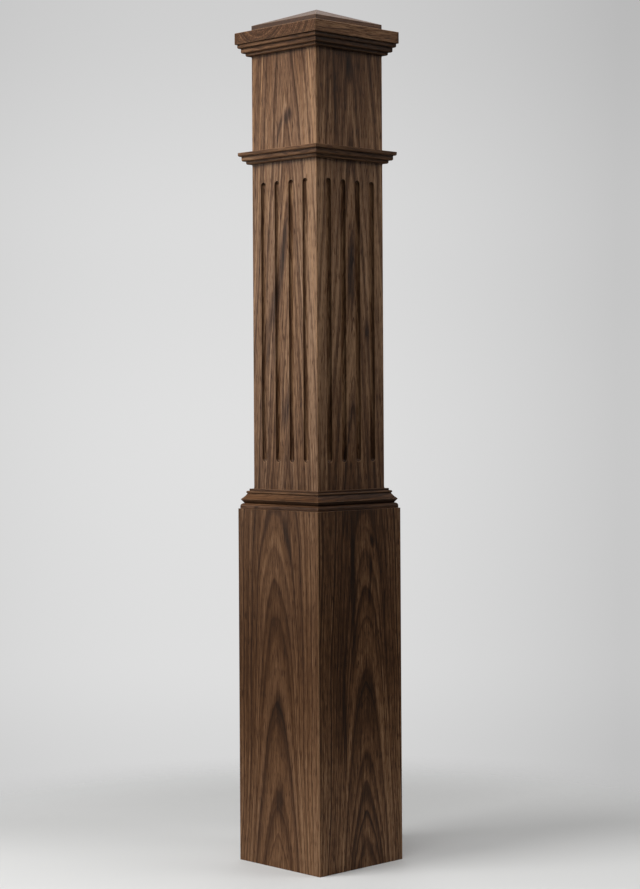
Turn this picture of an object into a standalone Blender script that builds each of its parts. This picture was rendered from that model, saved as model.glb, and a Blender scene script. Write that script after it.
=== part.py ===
"""Box newel post: a hollow square post of mitred walnut boards.

Its faces are fluted, its foot is wrapped by base boards, and a two-piece cap closes its top.

Units are metres, +Z is up, and the origin is on the floor at the centre of the foot.
The four sides are alike: each piece is modelled on the front (-Y) side and turned about Z in quarter turns.
"""

import math

import bmesh
import bpy
from mathutils import Matrix, Vector

# Driving dimensions
TOUCH_GAP = 0.0003  # space kept between pieces that touch
SHAFT_WIDTH = 0.153  # across the outer faces of the shaft
SHAFT_HEIGHT = 1.350  # floor to the upper ends of the shaft boards
SHAFT_BOARD_THICKNESS = 0.0185
SHAFT_ARRIS_RADIUS = 0.0014  # easing of the shaft's corners
ARRIS_STOP = 0.0015  # how far the easing stops short of a moulding

BASE_HEIGHT = 0.5819
BASE_BOARD_THICKNESS = 0.0185
BASE_ARRIS_RADIUS = 0.0014

BASE_CAP_HEIGHT = 0.0324
BASE_CAP_DEPTH = 0.0158  # how far it stands out from the shaft
BASE_CAP_FILLET_HEIGHT = 0.0036  # plain edge at the bottom
BASE_CAP_OVOLO_RADIUS = 0.0050  # quarter round over the plain edge
BASE_CAP_NOSE_DEPTH = 0.0154  # tip of the flared nose
BASE_CAP_NOSE_HEIGHT = 0.0150
BASE_CAP_FLARE_SAGITTA = 0.0007  # hollow of the flare above the nose
BASE_CAP_BEAD_RADIUS = 0.0021
BASE_CAP_BEAD_DEPTH = 0.0088  # outermost point of the bead
BASE_CAP_BEAD_START = -75  # degrees, where the flare meets the bead
BASE_CAP_TOP_FILLET_HEIGHT = 0.0035
BASE_CAP_TOP_FILLET_DEPTH = 0.0049

UPPER_BLOCK_HEIGHT = 0.1593  # plain face between the neck moulding and the cap moulding

# The neck and the cap have the same stepped moulding: how far each step stands out, and its height
TOP_STEP_DEPTH = 0.0164
TOP_STEP_HEIGHT = 0.0064
MIDDLE_STEP_DEPTH = 0.0121
MIDDLE_STEP_HEIGHT = 0.0080
LOW_STEP_DEPTH = 0.0067
LOW_STEP_HEIGHT = 0.0052
STEP_ROUND_RADIUS = 0.0026  # rounded lower edge of each step

CAP_BOARD_OVERHANG = 0.0033  # beyond the cap moulding
CAP_BOARD_THICKNESS = 0.0192
CAP_BOARD_ARRIS = 0.0010
CAP_BLOCK_INSET = 0.0200  # from the cap board's edge
CAP_BLOCK_EDGE_HEIGHT = 0.0117
CAP_BLOCK_RISE = 0.0264  # rise of the pyramid
CAP_BLOCK_ARRIS = 0.0008

FLUTES_PER_FACE = 4
FLUTE_EDGE_DISTANCE = 0.0270  # shaft corner to the middle of the outermost flute
FLUTE_CUTTER_RADIUS = 0.00635
FLUTE_DEPTH = 0.0050
FLUTE_FOOT_MARGIN = 0.0445  # base cap to the flutes' lower ends
FLUTE_HEAD_MARGIN = 0.0315  # flutes' upper ends to the neck moulding

# Finish of each kind of piece: its base colour and its roughness
SHAFT_FINISH = ((0.115, 0.066, 0.040), 0.42)
BASE_FINISH = ((0.092, 0.050, 0.031), 0.42)
MOULDING_FINISH = ((0.090, 0.051, 0.031), 0.40)
CAP_BOARD_FINISH = ((0.094, 0.054, 0.034), 0.40)
CAP_BLOCK_FINISH = ((0.094, 0.054, 0.034), 0.36)

# Fineness of the rounded shapes
FLUTE_SIDES = 32
FLUTE_END_RINGS = 6
ROUND_SEGMENTS = 4
EASING_SEGMENTS = 2
CUTTER_MARGIN = 0.004  # how far a cutter reaches past the wood
WELD_DISTANCE = 0.000002
EASED_EDGE_ANGLE = 40  # degrees, edges that turn more than this are eased
MITRE_ANGLE = 45  # degrees

# Places that follow from the driving dimensions
HALF_SHAFT = SHAFT_WIDTH / 2
BASE_OUTER = HALF_SHAFT + TOUCH_GAP + BASE_BOARD_THICKNESS
BASE_CAP_FOOT = BASE_HEIGHT + TOUCH_GAP
BASE_CAP_TOP = BASE_CAP_FOOT + BASE_CAP_HEIGHT
STEPPED_HEIGHT = TOP_STEP_HEIGHT + MIDDLE_STEP_HEIGHT + LOW_STEP_HEIGHT
CAP_MOULDING_FOOT = SHAFT_HEIGHT - STEPPED_HEIGHT
NECK_TOP = CAP_MOULDING_FOOT - UPPER_BLOCK_HEIGHT
NECK_FOOT = NECK_TOP - STEPPED_HEIGHT
FLUTE_FOOT = BASE_CAP_TOP + FLUTE_FOOT_MARGIN
FLUTE_HEAD = NECK_FOOT - FLUTE_HEAD_MARGIN
FLUTE_SPACING = (SHAFT_WIDTH - 2 * FLUTE_EDGE_DISTANCE) / max(FLUTES_PER_FACE - 1, 1)
CAP_BOARD_WIDTH = 2 * (HALF_SHAFT + TOUCH_GAP + TOP_STEP_DEPTH + CAP_BOARD_OVERHANG)
CAP_BOARD_FOOT = SHAFT_HEIGHT + TOUCH_GAP
CAP_BLOCK_WIDTH = CAP_BOARD_WIDTH - 2 * CAP_BLOCK_INSET
CAP_BLOCK_FOOT = CAP_BOARD_FOOT + CAP_BOARD_THICKNESS + TOUCH_GAP

SIDES = ("front", "right", "back", "left")
QUARTER_TURN = math.pi / 2
EASED_STRETCHES = (
    (BASE_CAP_TOP + ARRIS_STOP, NECK_FOOT - ARRIS_STOP),
    (NECK_TOP + ARRIS_STOP, CAP_MOULDING_FOOT - ARRIS_STOP),
)


def clear_scene():
    """Remove every object that the scene starts with."""
    for thing in list(bpy.data.objects):
        bpy.data.objects.remove(thing, do_unlink=True)


def new_collection(name):
    """Make a collection under the scene's own."""
    collection = bpy.data.collections.new(name)
    bpy.context.scene.collection.children.link(collection)
    return collection


def wood(name, finish):
    """Make a plain walnut finish of one colour."""
    colour, roughness = finish
    material = bpy.data.materials.new(name)
    material.use_nodes = True
    shader = material.node_tree.nodes["Principled BSDF"]
    shader.inputs["Base Color"].default_value = (*colour, 1.0)
    shader.inputs["Roughness"].default_value = roughness
    shader.inputs["Metallic"].default_value = 0.0
    material.diffuse_color = (*colour, 1.0)
    return material


def arc(centre, radius, start, end, segments):
    """Points on a circle from the start angle to the end angle, both in degrees."""
    points = []
    for step in range(segments + 1):
        angle = math.radians(start + (end - start) * step / segments)
        points.append((centre[0] + radius * math.cos(angle), centre[1] + radius * math.sin(angle)))
    return points


def sagged_line(start, end, sagitta, segments):
    """Points after the start up to the end of a shallow arc that bends to the left of its chord."""
    chord = Vector(end) - Vector(start)
    side = Vector((-chord.y, chord.x)).normalized()
    points = []
    for step in range(1, segments + 1):
        share = step / segments
        point = Vector(start) + chord * share + side * sagitta * 4 * share * (1 - share)
        points.append(tuple(point))
    return points


def prism(name, outline, low, high):
    """Make a mesh object from a closed outline in XY that is extruded from one height to another."""
    curve = bpy.data.curves.new(name + "_outline", "CURVE")
    curve.dimensions = "2D"
    curve.fill_mode = "BOTH"
    curve.extrude = (high - low) / 2
    spline = curve.splines.new("POLY")
    spline.points.add(len(outline) - 1)
    for point, (x, y) in zip(spline.points, outline):
        point.co = (x, y, 0, 1)
    spline.use_cyclic_u = True
    drawn = bpy.data.objects.new(name + "_outline", curve)
    bpy.context.scene.collection.objects.link(drawn)
    evaluated = drawn.evaluated_get(bpy.context.evaluated_depsgraph_get())
    mesh = bpy.data.meshes.new_from_object(evaluated)
    mesh.name = name
    mesh.transform(Matrix.Translation((0, 0, (low + high) / 2)))
    bpy.data.objects.remove(drawn, do_unlink=True)
    bpy.data.curves.remove(curve)
    solid = bmesh.new()
    solid.from_mesh(mesh)
    bmesh.ops.remove_doubles(solid, verts=solid.verts, dist=WELD_DISTANCE)
    bmesh.ops.recalc_face_normals(solid, faces=solid.faces)
    solid.to_mesh(mesh)
    solid.free()
    return bpy.data.objects.new(name, mesh)


def place(piece, collection, parent, material, side):
    """Put a piece modelled on the front side in its collection and turn it to its own side."""
    collection.objects.link(piece)
    piece.parent = parent
    piece.rotation_euler.z = side * QUARTER_TURN
    piece.data.materials.clear()
    piece.data.materials.append(material)
    return piece


def make_cutter(piece, collection, side=0):
    """Keep a cutter out of the renders and show it as wires."""
    collection.objects.link(piece)
    piece.rotation_euler.z = side * QUARTER_TURN
    piece.hide_render = True
    piece.display_type = "WIRE"
    return piece


def cut(piece, cutter):
    """Take the cutter's shape out of a piece."""
    difference = piece.modifiers.new("cut_" + cutter.name, "BOOLEAN")
    difference.operation = "DIFFERENCE"
    difference.solver = "EXACT"
    difference.object = cutter


def add_edge_loops(piece, heights):
    """Divide a piece's faces at the given heights without changing its shape."""
    solid = bmesh.new()
    solid.from_mesh(piece.data)
    for height in heights:
        everything = solid.verts[:] + solid.edges[:] + solid.faces[:]
        bmesh.ops.bisect_plane(solid, geom=everything, plane_co=(0, 0, height), plane_no=(0, 0, 1))
    solid.to_mesh(piece.data)
    solid.free()


def board_outline(half_width, thickness, arris):
    """Section of a front-side board, mitred at both ends, with its outer corners eased."""
    mitre_back = TOUCH_GAP / math.sqrt(2)
    inner = half_width - thickness
    outline = [(inner - mitre_back, -inner), (-inner + mitre_back, -inner)]
    if not arris:
        outline += [(-half_width + mitre_back, -half_width), (half_width - mitre_back, -half_width)]
        return outline
    centre = half_width - arris
    turn = MITRE_ANGLE - math.degrees(math.asin(TOUCH_GAP / 2 / arris))
    outline += arc((-centre, -centre), arris, 270 - turn, 270, EASING_SEGMENTS)
    outline += arc((centre, -centre), arris, 270, 270 + turn, EASING_SEGMENTS)
    return outline


def corner_cutter(name, low, high):
    """Rounding cutter for the shaft's corner between the front and the right side."""
    centre = HALF_SHAFT - SHAFT_ARRIS_RADIUS
    outside = HALF_SHAFT + CUTTER_MARGIN
    outline = arc((centre, -centre), SHAFT_ARRIS_RADIUS, 270, 360, 2 * EASING_SEGMENTS)
    outline += [(outside, -centre), (outside, -outside), (centre, -outside)]
    return prism(name, outline, low, high)


def flute_cutter():
    """Row of round-ended cutters for the front side, each a turned capsule that stands half in the wood."""
    radius = FLUTE_CUTTER_RADIUS
    half_straight = (FLUTE_HEAD - FLUTE_FOOT) / 2 - flute_end_length()
    head = arc((0, half_straight), radius, 90, 0, FLUTE_END_RINGS)
    foot = arc((0, -half_straight), radius, 0, -90, FLUTE_END_RINGS)
    mesh = bpy.data.meshes.new("flute_cutter")
    profile = head + foot
    edges = [(index, index + 1) for index in range(len(profile) - 1)]
    mesh.from_pydata([(abs(x), 0, z) for x, z in profile], edges, [])
    cutter = bpy.data.objects.new("flute_cutter", mesh)
    turned = cutter.modifiers.new("turned", "SCREW")
    turned.axis = "Z"
    turned.angle = 2 * math.pi
    turned.steps = FLUTE_SIDES
    turned.render_steps = FLUTE_SIDES
    turned.use_merge_vertices = True
    turned.merge_threshold = WELD_DISTANCE
    row = cutter.modifiers.new("row", "ARRAY")
    row.count = FLUTES_PER_FACE
    row.use_relative_offset = False
    row.use_constant_offset = True
    row.constant_offset_displace = (FLUTE_SPACING, 0, 0)
    cutter.location = (
        FLUTE_EDGE_DISTANCE - HALF_SHAFT,
        -HALF_SHAFT - (radius - FLUTE_DEPTH),
        (FLUTE_HEAD + FLUTE_FOOT) / 2,
    )
    return cutter


def flute_end_length():
    """Length of a flute's round end, where the ball of the cutter meets the face."""
    return math.sqrt(FLUTE_CUTTER_RADIUS**2 - (FLUTE_CUTTER_RADIUS - FLUTE_DEPTH) ** 2)


def stepped_profile():
    """Stepped section as (depth, height) points: each face drops, then rounds under to the next."""
    steps = (
        (TOP_STEP_DEPTH, TOP_STEP_HEIGHT),
        (MIDDLE_STEP_DEPTH, MIDDLE_STEP_HEIGHT),
        (LOW_STEP_DEPTH, LOW_STEP_HEIGHT),
    )
    outline = [(0, 0), (0, STEPPED_HEIGHT)]
    level = STEPPED_HEIGHT
    for depth, height in steps:
        outline.append((depth, level))
        level -= height
        centre = (depth - STEP_ROUND_RADIUS, level + STEP_ROUND_RADIUS)
        outline += arc(centre, STEP_ROUND_RADIUS, 0, -90, ROUND_SEGMENTS)
    return outline


def base_cap_profile():
    """Base-cap section as (depth, height) points from its foot up: edge, ovolo, nose, flare, bead, fillet."""
    ovolo_centre = (BASE_CAP_DEPTH - BASE_CAP_OVOLO_RADIUS, BASE_CAP_FILLET_HEIGHT)
    bead_centre = (
        BASE_CAP_BEAD_DEPTH - BASE_CAP_BEAD_RADIUS,
        BASE_CAP_HEIGHT - BASE_CAP_TOP_FILLET_HEIGHT - BASE_CAP_BEAD_RADIUS,
    )
    nose = (BASE_CAP_NOSE_DEPTH, BASE_CAP_NOSE_HEIGHT)
    bead = arc(bead_centre, BASE_CAP_BEAD_RADIUS, BASE_CAP_BEAD_START, 90, ROUND_SEGMENTS + 1)
    outline = [(0, 0), (BASE_CAP_DEPTH, 0)]
    outline += arc(ovolo_centre, BASE_CAP_OVOLO_RADIUS, 0, 90, ROUND_SEGMENTS)
    outline.append(nose)
    outline += sagged_line(nose, bead[0], BASE_CAP_FLARE_SAGITTA, ROUND_SEGMENTS)
    outline += bead[1:]
    outline.append((BASE_CAP_TOP_FILLET_DEPTH, BASE_CAP_HEIGHT - BASE_CAP_TOP_FILLET_HEIGHT))
    outline.append((BASE_CAP_TOP_FILLET_DEPTH, BASE_CAP_HEIGHT))
    outline.append((0, BASE_CAP_HEIGHT))
    return outline


def saw_mitres(piece):
    """Saw both ends of a front-side length at 45 degrees, half a gap back from the corner."""
    solid = bmesh.new()
    solid.from_mesh(piece.data)
    for end in (1, -1):
        normal = Vector((end, 1, 0)).normalized()
        everything = solid.verts[:] + solid.edges[:] + solid.faces[:]
        cut_through = bmesh.ops.bisect_plane(
            solid, geom=everything, plane_co=-normal * TOUCH_GAP / 2, plane_no=normal, clear_outer=True
        )
        rim = [item for item in cut_through["geom_cut"] if isinstance(item, bmesh.types.BMEdge)]
        bmesh.ops.holes_fill(solid, edges=rim)
    bmesh.ops.recalc_face_normals(solid, faces=solid.faces)
    solid.to_mesh(piece.data)
    solid.free()


def moulding_length(name, profile, foot):
    """Make a front-side length: its section runs along the shaft's face and its ends are mitred."""
    deepest = max(depth for depth, _ in profile)
    reach = HALF_SHAFT + TOUCH_GAP + deepest + CUTTER_MARGIN
    piece = prism(name, profile, -reach, reach)
    outwards_and_up = Matrix(((0, 0, -1), (-1, 0, 0), (0, 1, 0))).to_4x4()
    at_face = Matrix.Translation((0, -HALF_SHAFT - TOUCH_GAP, foot))
    piece.data.transform(at_face @ outwards_and_up)
    saw_mitres(piece)
    return piece


def make_shaft(collection, cutters, parent, material):
    """Four full-height boards with stopped flutes and eased corners between the mouldings."""
    loops = [height for stretch in EASED_STRETCHES for height in stretch]
    corners = {}
    for side, side_name in enumerate(SIDES):
        for number, (low, high) in enumerate(EASED_STRETCHES, start=1):
            cutter = corner_cutter(f"corner_cutter_{side_name}_{number}", low, high)
            corners[side, number] = make_cutter(cutter, cutters, side)
    for side, side_name in enumerate(SIDES):
        outline = board_outline(HALF_SHAFT, SHAFT_BOARD_THICKNESS, 0)
        board = prism("shaft_board_" + side_name, outline, 0, SHAFT_HEIGHT)
        add_edge_loops(board, loops)
        place(board, collection, parent, material, side)
        row = flute_cutter()
        row.name = "flute_cutter_" + side_name
        turn = Matrix.Rotation(side * QUARTER_TURN, 4, "Z")
        row.location = turn @ row.location
        cut(board, make_cutter(row, cutters, side))
        for number in range(1, len(EASED_STRETCHES) + 1):
            cut(board, corners[side, number])
            cut(board, corners[(side - 1) % len(SIDES), number])


def make_base(collection, parent, material):
    """Four boards wrapped round the lower end of the shaft."""
    outline = board_outline(BASE_OUTER, BASE_BOARD_THICKNESS, BASE_ARRIS_RADIUS)
    for side, side_name in enumerate(SIDES):
        board = prism("base_board_" + side_name, outline, 0, BASE_HEIGHT)
        place(board, collection, parent, material, side)


def make_mouldings(collection, parent, material):
    """The three runs of mitred moulding: base cap, neck and cap moulding."""
    runs = (
        ("base_cap_", base_cap_profile(), BASE_CAP_FOOT),
        ("neck_moulding_", stepped_profile(), NECK_FOOT),
        ("cap_moulding_", stepped_profile(), CAP_MOULDING_FOOT),
    )
    for prefix, profile, foot in runs:
        for side, side_name in enumerate(SIDES):
            length = moulding_length(prefix + side_name, profile, foot)
            place(length, collection, parent, material, side)


def ease_edges(piece, width):
    """Take the sharpness off a piece's edges."""
    easing = piece.modifiers.new("eased_edges", "BEVEL")
    easing.width = width
    easing.segments = EASING_SEGMENTS
    easing.limit_method = "ANGLE"
    easing.angle_limit = math.radians(EASED_EDGE_ANGLE)


def box_mesh(name, width, foot, height):
    """A square box of the given width that stands at the given height, open for further modelling."""
    solid = bmesh.new()
    bmesh.ops.create_cube(solid, size=1.0)
    bmesh.ops.scale(solid, verts=solid.verts, vec=(width, width, height))
    bmesh.ops.translate(solid, verts=solid.verts, vec=(0, 0, foot + height / 2))
    return solid, bpy.data.meshes.new(name)


def make_cap(collection, parent, board_material, block_material):
    """The cap board, and the block with its low pyramid on top of it."""
    solid, mesh = box_mesh("cap_board", CAP_BOARD_WIDTH, CAP_BOARD_FOOT, CAP_BOARD_THICKNESS)
    solid.to_mesh(mesh)
    solid.free()
    board = bpy.data.objects.new("cap_board", mesh)
    place(board, collection, parent, board_material, 0)
    ease_edges(board, CAP_BOARD_ARRIS)

    solid, mesh = box_mesh("cap_block", CAP_BLOCK_WIDTH, CAP_BLOCK_FOOT, CAP_BLOCK_EDGE_HEIGHT)
    top = max(solid.faces, key=lambda face: face.calc_center_median().z)
    apex = bmesh.ops.poke(solid, faces=[top])["verts"]
    bmesh.ops.translate(solid, verts=apex, vec=(0, 0, CAP_BLOCK_RISE))
    solid.to_mesh(mesh)
    solid.free()
    block = bpy.data.objects.new("cap_block", mesh)
    place(block, collection, parent, block_material, 0)
    ease_edges(block, CAP_BLOCK_ARRIS)


def main():
    """Build the whole post."""
    clear_scene()
    post = new_collection("box_newel_post")
    cutters = new_collection("cutters")
    root = bpy.data.objects.new("box_newel_post", None)
    post.objects.link(root)
    make_shaft(post, cutters, root, wood("shaft_walnut", SHAFT_FINISH))
    make_base(post, root, wood("base_walnut", BASE_FINISH))
    make_mouldings(post, root, wood("moulding_walnut", MOULDING_FINISH))
    board_walnut = wood("cap_board_walnut", CAP_BOARD_FINISH)
    block_walnut = wood("cap_block_walnut", CAP_BLOCK_FINISH)
    make_cap(post, root, board_walnut, block_walnut)


main()
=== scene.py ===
"""Looks of the box newel post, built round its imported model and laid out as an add-on.

Units are metres and +Z is up. The post's four sides are alike, so each piece is worked out on the front (-Y) side
and turned about Z in quarter turns. The grain is worked out as growth rings round a pith, board by board.
"""

import math

import bmesh
import bpy
import numpy as np
from bpy.props import FloatProperty, FloatVectorProperty, IntProperty, PointerProperty
from mathutils import Matrix, Vector


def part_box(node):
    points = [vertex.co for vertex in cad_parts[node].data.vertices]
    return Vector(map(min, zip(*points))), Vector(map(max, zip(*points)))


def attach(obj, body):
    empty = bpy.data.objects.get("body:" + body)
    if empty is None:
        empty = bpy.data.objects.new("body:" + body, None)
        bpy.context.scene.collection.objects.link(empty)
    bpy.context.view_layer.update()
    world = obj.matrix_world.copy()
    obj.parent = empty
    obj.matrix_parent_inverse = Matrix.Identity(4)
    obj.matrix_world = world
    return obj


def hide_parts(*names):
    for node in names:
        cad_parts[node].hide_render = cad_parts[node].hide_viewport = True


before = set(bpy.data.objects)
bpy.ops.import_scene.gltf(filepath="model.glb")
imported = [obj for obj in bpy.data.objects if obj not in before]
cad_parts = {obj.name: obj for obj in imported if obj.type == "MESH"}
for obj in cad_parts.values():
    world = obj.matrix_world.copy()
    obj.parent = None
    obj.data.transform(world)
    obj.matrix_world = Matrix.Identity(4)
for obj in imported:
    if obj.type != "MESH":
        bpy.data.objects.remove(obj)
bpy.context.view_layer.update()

bl_info = {
    "name": "Box Newel Post",
    "version": (1, 0, 0),
    "blender": (4, 5, 0),
    "location": "3D View > Sidebar > Newel Post",
    "description": "A walnut box newel post with fluted faces, in a plain pale studio",
    "category": "Add Mesh",
}

SIDES = ("front", "right", "back", "left")
QUARTER_TURN = math.pi / 2
MERGE_DISTANCE = 2e-6
SHARP_ANGLE = math.radians(32)
BROAD_RADIUS, BROAD_STRENGTH = 0.0015, 0.35  # corners rounder than this get a weaker edge value, by this share: less wear and painted highlight, less painted shade
# Edge values from a flute's middle line up its wall, over its rim and out to the flat face: painted shade inside the
# flute, darkest high on its wall, then wear and a painted highlight on its rim
FLUTE_EDGES = (-0.06, -0.08, -0.12, -0.18, -0.28, -0.42, -0.6, -0.85, -1.0, -0.6, 1.0, 1.0, 0.0, 0.0)
FACE_SUPPORT = 0.0004  # width of the strip that keeps a board's face flat beside its corners
WEAR_AND_HIGHLIGHT_ARRIS = 0.001  # only arrises rounder than this get wear and a painted highlight
FLUTE_ROWS, FLUTE_BENDS = 24, 24  # stretches up a flute's straight sides and round each of its ends


def reach(node):
    """How far the front face of a CAD node stands from the post's axis."""
    return -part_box(node)[0].y


def span(node):
    """Heights of a CAD node's foot and head."""
    low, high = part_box(node)
    return low.z, high.z


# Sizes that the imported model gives
SHAFT_HALF = reach("shaft_board_front")
SHAFT_HEAD = span("shaft_board_front")[1]
BASE_HALF = reach("base_board_front")
BASE_HEAD = span("base_board_front")[1]
BASE_CAP_FOOT, BASE_CAP_HEAD = span("base_cap_front")
NECK_FOOT, NECK_HEAD = span("neck_moulding_front")
CAP_MOULDING_FOOT = span("cap_moulding_front")[0]
CAP_BOARD_HALF = reach("cap_board")
CAP_BOARD_FOOT, CAP_BOARD_HEAD = span("cap_board")
CAP_BLOCK_HALF = reach("cap_block")
CAP_BLOCK_FOOT, CAP_BLOCK_HEAD = span("cap_block")


def length(name, description, default):
    """A length that a user may change."""
    return FloatProperty(name=name, description=description, default=default, min=0.0, unit="LENGTH", precision=5)


def colour(name, description, default):
    """A colour that a user may change."""
    return FloatVectorProperty(
        name=name, description=description, default=default, size=3, min=0.0, max=1.0, subtype="COLOR"
    )


class NewelSizes(bpy.types.PropertyGroup):
    """Sizes of the post's finer shapes."""

    board_thickness: length("Board thickness", "Thickness of the shaft and base boards", 0.0185)
    joint_gap: length("Joint gap", "Hairline left between two mitred pieces", 0.00004)
    seat_gap: length("Seat gap", "Space between the mouldings and the shaft behind them", 0.0003)
    arris: length("Arris", "Radius of the boards' eased corners", 0.0014)
    hidden_arris: length("Hidden arris", "Radius of the shaft's corners behind the mouldings", 0.0003)
    arris_stop: length("Arris stop", "How far the easing stops short of a moulding", 0.0010)
    end_easing: length("End easing", "Radius at the boards' ends", 0.0004)
    flute_radius: length("Flute radius", "Radius of the round-nosed cutter", 0.00635)
    flute_depth: length("Flute depth", "Depth of the flutes", 0.0050)
    flute_spacing: length("Flute spacing", "Between the middles of two flutes", 0.0330)
    flute_foot: length("Flute foot", "Height of the flutes' lower ends", 0.6591)
    flute_head: length("Flute head", "Height of the flutes' upper ends", 1.1200)
    flute_rim: length("Flute rim", "Easing of the flutes' rims", 0.00022)
    moulding_arris: length("Moulding arris", "Radius of the mouldings' sharp edges", 0.00035)
    cap_board_arris: length("Cap board arris", "Radius of the cap board's edges", 0.0010)
    cap_block_arris: length("Cap block arris", "Radius of the cap block's edges", 0.0008)
    cap_block_edge: length("Cap block edge", "Height of the cap block's upright edge", 0.0117)


class NewelColours(bpy.types.PropertyGroup):
    """Colours and finish of the walnut."""

    pale: colour("Pale wood", "The palest early wood", (0.330, 0.190, 0.100))
    brown: colour("Brown wood", "The main brown", (0.142, 0.068, 0.031))
    deep: colour("Deep wood", "Darker late wood", (0.062, 0.0265, 0.0108))
    dark: colour("Dark lines", "The darkest ring lines", (0.020, 0.0095, 0.0052))
    grey: colour("Grey streaks", "Mineral streaks and the cool tint of the heart", (0.080, 0.060, 0.050))
    roughness: FloatProperty(
        name="Roughness", description="Roughness of the clear satin finish", default=0.42, min=0.0, max=1.0
    )
    relief: length("Grain relief", "Depth of the pores and fibres felt through the finish", 0.00007)


class NewelStudio(bpy.types.PropertyGroup):
    """The floor, the lights and the camera."""

    floor: colour("Floor", "Colour of the floor", (0.66, 0.66, 0.652))
    light: FloatProperty(name="Light", description="Strength of all the soft boxes", default=1.0, min=0.0)
    lens: FloatProperty(name="Lens", description="Focal length in millimetres", default=85.2, min=1.0)
    samples_round: IntProperty(name="Floor fineness", description="Points round the floor", default=96, min=12)


# Surfaces as arrays


def quads(rows, columns, closed=False):
    """Four-sided faces between neighbouring rows and columns of points that are numbered row by row."""
    row = np.arange(rows - 1)[:, None]
    column = np.arange(columns if closed else columns - 1)[None, :]
    after = (column + 1) % columns
    low, high = row * columns, (row + 1) * columns
    return np.stack((low + column, low + after, high + after, high + column), axis=-1)


def turned(points, side):
    """Points of the front side turned about Z by the side's quarter turns."""
    cosine, sine = round(math.cos(side * QUARTER_TURN)), round(math.sin(side * QUARTER_TURN))
    x, y, z = points[..., 0], points[..., 1], points[..., 2]
    return np.stack((cosine * x - sine * y, sine * x + cosine * y, z), axis=-1)


def make_mesh(name, patches, side=0):
    """Join patches of (points, edge value, faces) in one closed mesh object, merge their seams and mark its edges.

    The edge value is above 0 on arrises, where the walnut paints wear and a painted highlight, and below 0 in quirks
    and hollows, where it adds painted shade.
    """
    points, edges, faces, start = [], [], [], 0
    for patch_points, patch_edges, patch_faces in patches:
        points.append(patch_points.reshape(-1, 3))
        edges.append(np.broadcast_to(patch_edges, patch_points.shape[:-1]).reshape(-1))
        for block in patch_faces:
            faces += (np.asarray(block) + start).reshape(-1, np.shape(block)[-1]).tolist()
        start += len(points[-1])
    mesh = bpy.data.meshes.new(name)
    mesh.from_pydata(turned(np.concatenate(points), side).tolist(), [], faces)
    values = mesh.attributes.new("edge", "FLOAT", "POINT")
    values.data.foreach_set("value", np.concatenate(edges).astype(np.float32))
    shell = bmesh.new()
    shell.from_mesh(mesh)
    unused = [point for point in shell.verts if not point.link_faces]
    bmesh.ops.delete(shell, geom=unused, context="VERTS")
    bmesh.ops.remove_doubles(shell, verts=shell.verts, dist=MERGE_DISTANCE)
    bmesh.ops.dissolve_degenerate(shell, edges=shell.edges, dist=MERGE_DISTANCE / 10)
    bmesh.ops.recalc_face_normals(shell, faces=shell.faces)
    shell.to_mesh(mesh)
    shell.free()
    mesh.shade_smooth()
    mesh.set_sharp_from_angle(angle=SHARP_ANGLE)
    piece = bpy.data.objects.new(name, mesh)
    bpy.context.scene.collection.objects.link(piece)
    return piece


def arc(centre, radius, start, end, count):
    """Points on a circle: the centre plus the radius times cosine and sine from start to end, in degrees."""
    angle = np.radians(np.linspace(start, end, count + 1))
    return np.stack((centre[0] + radius * np.cos(angle), centre[1] + radius * np.sin(angle)), axis=-1)


def eased(corners, radii, count=4, support=0.0001):
    """An outline with its corners rounded, and the edge value of each point.

    Each corner becomes an arc that is tangent to both neighbours: its points turn evenly from one tangent point to
    the other round a centre on the bisector. A support point beyond each arc keeps the flats flat.
    """
    corners, radii = np.asarray(corners, float), np.asarray(radii, float)
    before = np.roll(corners, 1, axis=0) - corners
    after = np.roll(corners, -1, axis=0) - corners
    before /= np.linalg.norm(before, axis=1, keepdims=True)
    after /= np.linalg.norm(after, axis=1, keepdims=True)
    inside = np.arccos(np.clip((before * after).sum(1), -1, 1))
    sharp = (radii > 0) & (inside < math.pi - 0.02)
    half = np.where(sharp, inside / 2, math.pi / 4)
    radius = np.where(sharp, radii, 0.0)[:, None]
    tangent = radius / np.tan(half)[:, None]
    bisector = before + after
    bisector /= np.maximum(np.linalg.norm(bisector, axis=1, keepdims=True), 1e-12)
    centre = corners + bisector * radius / np.sin(half)[:, None]
    first, last = corners + before * tangent - centre, corners + after * tangent - centre
    turn = (math.pi - 2 * half)[:, None, None]
    share = np.linspace(0, 1, count + 1)[None, :, None]
    swept = np.sin((1 - share) * turn) * first[:, None] + np.sin(share * turn) * last[:, None]
    arcs = centre[:, None] + swept / np.sin(turn)
    beyond = np.where(sharp[:, None], support, 0.0)
    lead = corners + before * (tangent + beyond)
    tail = corners + after * (tangent + beyond)
    points = np.concatenate((lead[:, None], arcs, tail[:, None]), axis=1)
    area = np.sum(corners[:, 0] * np.roll(corners[:, 1], -1) - np.roll(corners[:, 0], -1) * corners[:, 1])
    bend = before[:, 0] * after[:, 1] - before[:, 1] * after[:, 0]
    # Outer corners get an edge value above 0, for wear and a painted highlight; inner corners get one below 0, for
    # painted shade
    sign = -np.sign(bend) * np.sign(area) * sharp
    strength = sign * np.where(radii > BROAD_RADIUS, BROAD_STRENGTH, 1.0)
    bell = np.sin(np.pi * np.linspace(0, 1, count + 1))
    value = np.pad(strength[:, None] * bell[None], ((0, 0), (1, 1)))
    points, value = points.reshape(-1, 2), value.reshape(-1)
    moved = np.linalg.norm(points - np.roll(points, 1, axis=0), axis=1) > 1e-7
    return points[moved], value[moved]


# Boards


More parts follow.
